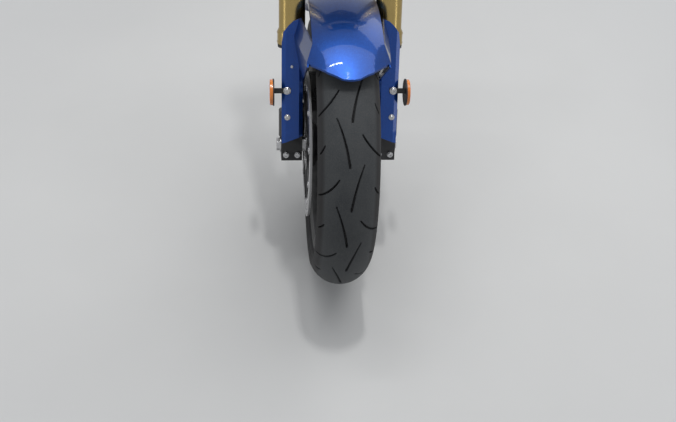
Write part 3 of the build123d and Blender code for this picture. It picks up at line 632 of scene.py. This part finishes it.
def screw(radius, height, socket, flange=0.0):
    # a socket head: floor of the hexagon, its walls, the chamfered rim, then any flange
    floor, shoulder = height * hardware["socketFloor"], height * hardware["shoulder"]
    flangeTop, sunk = hardware["screwFlange"], -hardware["sunk"]
    profile = [
        (0, floor, 0), (socket, floor, 6), (socket, height, 6),
        (radius * hardware["screwTop"], height, 0), (radius, shoulder, 0),
    ]
    if flange:
        profile += [(radius, flangeTop, 0), (flange * 0.94, flangeTop, 0), (flange, flangeTop - 0.0004, 0)]
    else:
        profile.append((radius, 0, 0))
    profile += [(flange or radius, sunk, 0), (0, sunk, 0)]
    return turned(profile, hardware["steps"])


def hexHead(flats, height, flange):
    # a hexagon with a crowned top over its flange
    top, shoulder = flats * hardware["hexTop"], height * hardware["shoulder"]
    flangeTop, sunk = hardware["hexFlange"], -hardware["sunk"]
    profile = [
        (0, height, 0), (top, height, 0), (flats, shoulder, 6), (flats, flangeTop, 6),
        (flange * 0.93, flangeTop, 0), (flange, flangeTop - 0.0005, 0), (flange, sunk, 0), (0, sunk, 0),
    ]
    return turned(profile, hardware["steps"])


def plainTube(inner, outer, height, bevel=0.0004):
    # a short tube or ring with bevelled rims
    sunk = -hardware["tubeSunk"]
    profile = [
        (inner, sunk, 0), (inner, height - bevel, 0), (inner + bevel, height, 0), (outer - bevel, height, 0),
        (outer, height - bevel, 0), (outer, sunk, 0), (inner, sunk, 0),
    ]
    return turned(profile, hardware["steps"])


def fitted(name, slotName, body, parts):
    # one piece from hardware shapes, each with the place and direction that it sits in
    points, faces = joined([(aimed(shape[0], place, axis), shape[1]) for shape, place, axis in parts])
    return newPiece(name, points, faces, body, slotName, 30)


# Fork guard's screws: each a head's radius, height, socket and flange, and its place out
# from the leg, ahead of it and up it
guardScrews = [
    ((0.0056, 0.0040, 0.0023, 0.0078), (0.011, 0.0360, 0.125)),    # through the reflector's strap
    ((0.0042, 0.0030, 0.0019, 0.0062), (0.010, 0.0340, 0.068)),
    ((0.0030, 0.0014, 0.0014), (0.001, 0.0340, 0.175)),            # a small plug
]


def addGuardScrews(side, sideName):
    parts = [(screw(*head), legPoint(side, *place), legAhead) for head, place in guardScrews]
    fitted(f"guard_screws_{sideName}", "steel", "fork", parts)


# Fork foot: two pinch bolts across the axle clamp's slit, with nuts behind
foot = {
    "boltsOut": (-0.012, 0.012), "half": 0.0190, "height": -0.019,
    "head": (0.0052, 0.0055, 0.0026, 0.0064), "nut": (0.0050, 0.0045, 0.0062),
}


def addFootScrews(side, sideName):
    parts = []
    for out in foot["boltsOut"]:
        front = legPoint(side, out, foot["half"], foot["height"])
        behind = legPoint(side, out, -foot["half"], foot["height"])
        parts += [(screw(*foot["head"]), front, legAhead), (hexHead(*foot["nut"]), behind, -legAhead)]
    fitted(f"foot_screws_{sideName}", "steel", "fork", parts)


# Caliper: radial mounting bolts and body bolts, a plug over each piston, and a bleed screw
caliper = {
    "lean": 40.0,              # of the caliper, up from straight behind the axle
    "earEnd": 0.145, "boltSpacing": 0.100, "boltX": 0.0875,
    "outerFace": 0.1010, "innerFace": 0.0310, "boltCircle": 0.163, "halfSpacing": 0.024,
    "pistonCircle": 0.143, "pistonSpacing": 0.018, "capHeight": 0.0025,
    "bleed": (0.088, 0.1700, 0.016),      # across, out to it and along the caliper
    "mountHead": (0.0058, 0.0065, 0.0085), "bodyHead": (0.0048, 0.0040, 0.0024),
    "plug": (0.0085, 0.0014, 0.0036), "bleedHead": (0.0035, 0.0050, 0.0046),
    "bleedTube": (0.0009, 0.0022, 0.0095),
}
caliperOut = -legAhead * cos(radians(caliper["lean"])) + legUp * sin(radians(caliper["lean"]))
caliperAlong = np.cross(across, caliperOut)


def caliperPoint(side, x, out, along):
    # from the axle: across to the given side, out to the caliper and along it
    return axle + across * side * x + caliperOut * out + caliperAlong * along


def addCaliperScrews(side, sideName):
    bolts, plugs = [], []
    caps = (
        (caliper["outerFace"] + caliper["capHeight"], across * side),
        (caliper["innerFace"] - caliper["capHeight"], -across * side),
    )
    for end in (-1, 1):
        mount = caliperPoint(side, caliper["boltX"], caliper["earEnd"], end * caliper["boltSpacing"] / 2)
        bolts.append((hexHead(*caliper["mountHead"]), mount, caliperOut))
        body = caliperPoint(side, caliper["outerFace"], caliper["boltCircle"], end * caliper["halfSpacing"])
        bolts.append((screw(*caliper["bodyHead"]), body, across * side))
        for x, facing in caps:
            piston = caliperPoint(side, x, caliper["pistonCircle"], end * caliper["pistonSpacing"])
            plugs.append((screw(*caliper["plug"]), piston, facing))
    fitted(f"caliper_bolts_{sideName}", "steel", "fork", bolts)
    fitted(f"piston_plugs_{sideName}", "alloy", "fork", plugs)
    bleed = caliperPoint(side, *caliper["bleed"])
    fitted(f"bleed_screw_{sideName}", "steel", "fork", [
        (hexHead(*caliper["bleedHead"]), bleed, caliperOut),
        (plainTube(*caliper["bleedTube"]), bleed, caliperOut),
    ])


# Disc: a rivet with a washer through each bobbin, and low bolts round the hub
disc = {
    "face": 0.0690,
    "bobbinCircle": 0.124, "bobbins": 10, "bobbinStart": 180.0,
    "boltCircle": 0.041, "bolts": 5, "boltStart": 54.0,
    "rivet": (0.0030, 0.0056, 0.0012), "washer": (0.0058, 0.0083, 0.0006, 0.0002),
    "bolt": (0.0066, 0.0012, 0.0032),
}


def roundAxle(side, x, radius, degreesUp):
    # a point at a radius from the axle line, degrees up from straight ahead
    turn = radians(degreesUp)
    return axle + across * side * x + np.array([0, -cos(turn), sin(turn)]) * radius


def addDiscHardware(side, sideName):
    rivets, bolts = [], []
    for count in range(disc["bobbins"]):
        degreesUp = disc["bobbinStart"] - 360 / disc["bobbins"] * count
        place = roundAxle(side, disc["face"], disc["bobbinCircle"], degreesUp)
        rivets.append((plainTube(*disc["rivet"]), place, across * side))
        rivets.append((plainTube(*disc["washer"]), place, across * side))
    for count in range(disc["bolts"]):
        degreesUp = disc["boltStart"] + 360 / disc["bolts"] * count
        place = roundAxle(side, disc["face"], disc["boltCircle"], degreesUp)
        bolts.append((screw(*disc["bolt"]), place, across * side))
    fitted(f"disc_rivets_{sideName}", "steel", "front_wheel", rivets)
    fitted(f"disc_bolts_{sideName}", "steel", "front_wheel", bolts)


# Yokes: a pinch bolt through each boss, with the end of its thread behind
yokes = {
    "boltX": 0.132, "bossFront": 0.041, "bossBack": 0.011, "heights": (-0.0285, -0.0095, 0.172),
    "head": (0.0053, 0.0050, 0.0026, 0.0062),
    "threadEnd": [
        (0, 0.0016, 0), (0.0026, 0.0016, 0), (0.0031, 0.0009, 0), (0.0031, -0.0006, 0), (0, -0.0006, 0),
    ],
}


def headPoint(x, ahead, height):
    # from the steering head's origin, which is the frame's
    return across * x + legAhead * ahead + legUp * height


def addYokeBolts(side, sideName):
    parts = []
    for height in yokes["heights"]:
        front = headPoint(side * yokes["boltX"], yokes["bossFront"], height)
        behind = headPoint(side * yokes["boltX"], yokes["bossBack"], height)
        parts.append((screw(*yokes["head"]), front, legAhead))
        parts.append((turned(yokes["threadEnd"]), behind, -legAhead))
    fitted(f"yoke_bolts_{sideName}", "steel", "fork", parts)


# Outer tube and seal: a bright land at each end of the collar, and lips round the seal
tube = {"inner": 0.0280, "outer": 0.0307, "width": 0.0022, "heights": (0.2195, 0.2385)}
seal = {
    "inner": 0.0270, "outer": 0.0290, "width": 0.0010,
    "lips": 3, "first": 0.2100, "step": 0.0022,
    "grow": 0.0002,            # how much further out each lip reaches than the one below
}


def addTubeRings(side, sideName):
    land = plainTube(tube["inner"], tube["outer"], tube["width"])
    lands = [(land, legPoint(side, 0, 0, height), legUp) for height in tube["heights"]]
    fitted(f"tube_rings_{sideName}", "gold_alloy", "fork", lands)
    lips = []
    for count in range(seal["lips"]):
        lip = plainTube(seal["inner"], seal["outer"] + seal["grow"] * count, seal["width"])
        lips.append((lip, legPoint(side, 0, 0, seal["first"] + seal["step"] * count), legUp))
    fitted(f"seal_lips_{sideName}", "seal_rubber", "fork", lips)


# Reflector: a round lens with a raised rim
lens = {
    "rings": 60, "spokes": 150,
    "rim": 0.0016,             # its width
    "edge": 0.0006,            # the bevel round its outside
    "inside": [(0.0004, 0.0002), (0.0008, 0.0)],    # up to its top: out from the face, and depth
    "sink": 0.0007,            # of the face's middle, below the rim
    "dome": 0.0006,            # how much lower the face's edge lies
    "prism": 0.0008,           # how deep the valleys between the prisms are
    "cell": 0.0030,            # width of one prism
    "rowShare": 0.87,          # what a distance up counts for, against one across
}


def prismHeight(y, z):
    # 0 in the middle of a prism, rising to 1 at its corners: the lesser of the distances to
    # the nearest middle in each of two grids, half a cell apart each way, where a distance
    # is the larger of the ones across and up
    pitch, row = lens["cell"], lens["cell"] * sqrt(3)
    grids = []
    for offset in (0.5, 0.0):
        toMiddleY = np.abs(np.mod(y + offset * pitch, pitch) - pitch / 2)
        toMiddleZ = np.abs(np.mod(z + offset * row, row) - row / 2)
        grids.append(np.maximum(toMiddleY, toMiddleZ * lens["rowShare"]))
    return np.clip(np.minimum(*grids) / (pitch / 2), 0, 1)


def addLens(side, sideName):
    # rings of the face, a field of prisms under a shallow dome, then the rim and the back
    low, high = (np.array(corner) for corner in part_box(f"reflector_{sideName}"))
    centre, radius, thickness = (low + high) / 2, (high[2] - low[2]) / 2, high[0] - low[0]
    front = high[0] if side > 0 else low[0]
    inner = radius - lens["rim"]
    turn = np.linspace(0, 2 * pi, lens["spokes"], endpoint=False)
    t, phi = np.meshgrid(np.linspace(0, 1, lens["rings"]), turn, indexing="ij")
    prisms = prismHeight(t * inner * np.cos(phi), t * inner * np.sin(phi))
    profile = [(inner, lens["sink"])]
    profile += [(inner + further, depth) for further, depth in lens["inside"]]
    profile += [(radius - lens["edge"], 0.0), (radius, lens["edge"]), (radius, thickness), (0.0, thickness)]
    rimReach, rimDepth = (np.array(column)[:, None] for column in zip(*profile))
    reach = np.concatenate([t * inner, np.repeat(rimReach, len(turn), axis=1)])
    depth = lens["sink"] + lens["dome"] * t ** 2 + lens["prism"] * prisms
    depth = np.concatenate([depth, np.repeat(rimDepth, len(turn), axis=1)])
    y, z = centre[1] + reach * np.cos(turn), centre[2] + reach * np.sin(turn)
    points = np.stack([front - side * depth, y, z], axis=-1)
    faces = gridFaces(len(reach), len(turn), closeColumns=True)
    piece = newPiece(f"reflector_lens_{sideName}", points.reshape(-1, 3), faces, "fork", "amber_lens", 20)
    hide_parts(f"reflector_{sideName}")


for side, sideName in sides:
    addGuardScrews(side, sideName)
    addFootScrews(side, sideName)
    addCaliperScrews(side, sideName)
    addDiscHardware(side, sideName)
    addYokeBolts(side, sideName)
    addTubeRings(side, sideName)
    addLens(side, sideName)
print("hardware on both sides")


# Wheel: the valve in the rim's well, between two pairs of spokes
valve = {
    "angle": 36.0, "well": 0.1915,
    "stem": [
        (0, -0.002, 0), (0.0062, -0.002, 0), (0.0062, 0.0015, 0), (0.0042, 0.0045, 0), (0.0036, 0.0180, 0),
        (0, 0.0180, 0),
    ],
    "cap": [(0, 0.0175, 0), (0.0046, 0.0175, 0), (0.0046, 0.0290, 0), (0.0036, 0.0300, 0), (0, 0.0300, 0)],
}


def addValve():
    base = roundAxle(1, 0.0, valve["well"], valve["angle"])
    inward = (axle - base) / np.linalg.norm(axle - base)
    parts = [(turned(valve["stem"]), base, inward), (turned(valve["cap"]), base, inward)]
    fitted("valve_stem", "black_plastic", "front_wheel", parts)


addValve()
print("valve")


# Camera, from the outline of the tyre in the photo
camera = {
    "place": (-0.18012, -1.53986, 1.40592),    # from the axle
    "yaw": 7.125, "pitch": 46.146, "roll": 4.562,
    "focal": 973.97,                           # in pixels of a 676 by 422 picture
    "width": 676.0, "sensor": 36.0,
}


def addCamera():
    # looks yaw degrees from +Y towards +X and pitch degrees down, then rolls anticlockwise
    yaw, pitch, roll = (radians(camera[k]) for k in ("yaw", "pitch", "roll"))
    look = Vector((sin(yaw) * cos(pitch), cos(yaw) * cos(pitch), -sin(pitch)))
    level = Vector((cos(yaw), -sin(yaw), 0))
    rise = level.cross(look)
    right = level * cos(roll) + rise * sin(roll)
    up = rise * cos(roll) - level * sin(roll)
    data = bpy.data.cameras.new("camera")
    data.sensor_width = camera["sensor"]
    data.lens = camera["focal"] / camera["width"] * camera["sensor"]
    data.clip_start = 0.02
    made = bpy.data.objects.new("camera", data)
    bpy.context.scene.collection.objects.link(made)
    turn = Matrix((right, up, -look)).transposed().to_4x4()
    made.matrix_world = Matrix.Translation(Vector(axle) + Vector(camera["place"])) @ turn
    bpy.context.scene.camera = made


addCamera()


# Studio: a pale floor that runs out into a pale backdrop, and soft lamps
studio = {
    "floorColour": (0.72, 0.72, 0.71),
    "backdrop": (0.60, 0.61, 0.62),
    "fade": (0.55, 1.7),       # where the floor starts to turn into the backdrop, and where it has
    "reach": 40.0,
    "lamps": [
        # place, aim, width, length, power: a wide soft lamp overhead, a small one that
        # casts the crisper shadows, two narrow ones that glint on the crown, and a weak
        # one from behind
        ((0.2, 0.12, 2.0), (0.2, 0.12, 0.0), 3.4, 1.3, 26),
        ((0.08, -0.34, 2.0), (0.08, -0.34, 0.0), 0.11, 0.20, 12),
        ((-0.405, -0.122, 1.02), (-0.405, -0.122, 0.0), 0.22, 0.025, 0.9),
        ((-0.175, -0.120, 1.02), (-0.175, -0.120, 0.0), 0.18, 0.025, 0.9),
        ((1.3, 1.8, 1.3), (0, -0.1, -0.3), 1.4, 1.4, 12),
        # a tall narrow one on each side, which the fork tubes mirror as a streak
        ((1.55, -0.80, 0.0), (0.1, 0.0, -0.1), 0.20, 1.3, 1.8),
        ((-1.75, -0.55, 0.0), (-0.1, 0.0, -0.1), 0.20, 1.3, 1.8),
    ],
    "sky": (0.92, 0.95, 1.0),
    "skyStrength": 0.34,
}


def seenBy(tree):
    # 1 for rays from the camera and for those that metal and glass send on, otherwise 0
    rays = tree.nodes.new("ShaderNodeLightPath")
    total = None
    for kind in ("Is Camera Ray", "Is Glossy Ray", "Is Transmission Ray"):
        if total is None:
            total = rays.outputs[kind]
            continue
        larger = tree.nodes.new("ShaderNodeMath")
        larger.operation = "MAXIMUM"
        tree.links.new(total, larger.inputs[0])
        tree.links.new(rays.outputs[kind], larger.inputs[1])
        total = larger.outputs[0]
    return total


def floorPaint():
    # lit floor close by, with the backdrop's own colour further out
    paint = Paint("floorPaint", Roughness=0.8)
    cloud = paint.noise(1.6, 5)
    shade = tuple(c * 0.95 for c in studio["floorColour"])
    paint.set("Base Color", paint.mix(paint.remap(cloud, 0.35, 0.65, 0, 1), studio["floorColour"], shade))
    flat = paint.node("ShaderNodeVectorMath", {0: paint.place, 1: (1, 1, 0)}, operation="MULTIPLY").outputs[0]
    away = paint.node("ShaderNodeVectorMath", {0: flat}, operation="LENGTH").outputs["Value"]
    low, high = studio["fade"]
    far = paint.node("ShaderNodeMapRange", {"Value": away, "From Min": low, "From Max": high},
                     interpolation_type="SMOOTHSTEP").outputs[0]
    glow = paint.node("ShaderNodeEmission", {"Color": (*studio["backdrop"], 1.0)}).outputs[0]
    shown = paint.math("MULTIPLY", far, seenBy(paint.tree))
    blend = paint.node("ShaderNodeMixShader", {0: shown, 1: paint.shader.outputs[0], 2: glow})
    paint.tree.links.new(blend.outputs[0], paint.tree.nodes["Material Output"].inputs[0])
    return paint.material


def addFloor():
    # a wide square at the height of the tyre's lowest point
    reach = studio["reach"]
    corners = ((-reach, -reach), (reach, -reach), (reach, reach), (-reach, reach))
    mesh = bpy.data.meshes.new("floor")
    mesh.from_pydata([(x, y, floorHeight) for x, y in corners], [], [(0, 1, 2, 3)])
    mesh.materials.append(floorPaint())
    floor = bpy.data.objects.new("floor", mesh)
    bpy.context.scene.collection.objects.link(floor)


def addLamps():
    # rectangles, each turned to its aim and unseen by the camera
    for place, aim, width, length, power in studio["lamps"]:
        data = bpy.data.lights.new("lamp", "AREA")
        data.shape = "RECTANGLE"
        data.size, data.size_y, data.energy = width, length, power
        lamp = bpy.data.objects.new("lamp", data)
        bpy.context.scene.collection.objects.link(lamp)
        lamp.location = place
        lamp.visible_camera = False
        lamp.rotation_euler = (Vector(aim) - Vector(place)).to_track_quat("-Z", "Y").to_euler()


def addWorld():
    # even light from all round, in whose place the camera, metal and glass see the backdrop
    world = bpy.data.worlds.new("world")
    bpy.context.scene.world = world
    world.use_nodes = True
    tree = world.node_tree
    lighting = tree.nodes["Background"]
    lighting.inputs["Color"].default_value = (*studio["sky"], 1.0)
    lighting.inputs["Strength"].default_value = studio["skyStrength"]
    shown = tree.nodes.new("ShaderNodeBackground")
    shown.inputs["Color"].default_value = (*studio["backdrop"], 1.0)
    blend = tree.nodes.new("ShaderNodeMixShader")
    tree.links.new(seenBy(tree), blend.inputs[0])
    tree.links.new(lighting.outputs[0], blend.inputs[1])
    tree.links.new(shown.outputs[0], blend.inputs[2])
    tree.links.new(blend.outputs[0], tree.nodes["World Output"].inputs[0])


addFloor()
addLamps()
addWorld()
bpy.context.scene.view_settings.view_transform = "Standard"
print("camera and studio")
